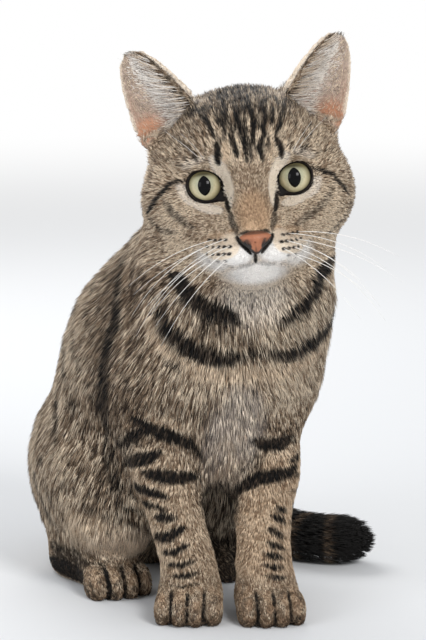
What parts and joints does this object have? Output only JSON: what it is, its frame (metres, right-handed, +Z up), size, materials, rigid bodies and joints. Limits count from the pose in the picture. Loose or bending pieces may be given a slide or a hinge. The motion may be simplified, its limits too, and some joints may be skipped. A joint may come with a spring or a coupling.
{
  "type": "cat",
  "caption": "Sitting short-haired brown tabby cat, life size, still, with upright ears, forelegs together and the tail laid round to its left.",
  "frame": {"origin": "middle of the bounding box, on the floor under the cat", "axes": "+Z up, -Y the way the face looks, +X towards the cat's left"},
  "size_m": [0.2112, 0.2546, 0.3241],
  "materials": {
    "coat": "short brown tabby fur, ticked, with dark stripes",
    "coat_dark": "dark fur of the tail, with faint bands",
    "coat_white": "white and cream fur of the chin and lips",
    "nose_leather": "moist brick-red nose leather with a dark edge",
    "eye": "clear wet eye, yellow-green iris, oval black pupil",
    "whisker": "stiff white hair"
  },
  "bodies": {
    "root": {"head": "coat", "jaw": "coat_white", "nose": "nose_leather", "neck": "coat", "trunk": "coat", "eye_right": "eye", "eye_left": "eye", "ear_right": "coat", "ear_left": "coat", "front_leg_right": "coat", "front_leg_left": "coat", "front_paw_right": "coat", "front_paw_left": "coat", "thigh_right": "coat", "thigh_left": "coat", "hind_foot_right": "coat", "hind_foot_left": "coat", "tail_base": "coat_dark", "tail_middle": "coat_dark", "tail_tip": "coat_dark"}
  },
  "joints": []
}
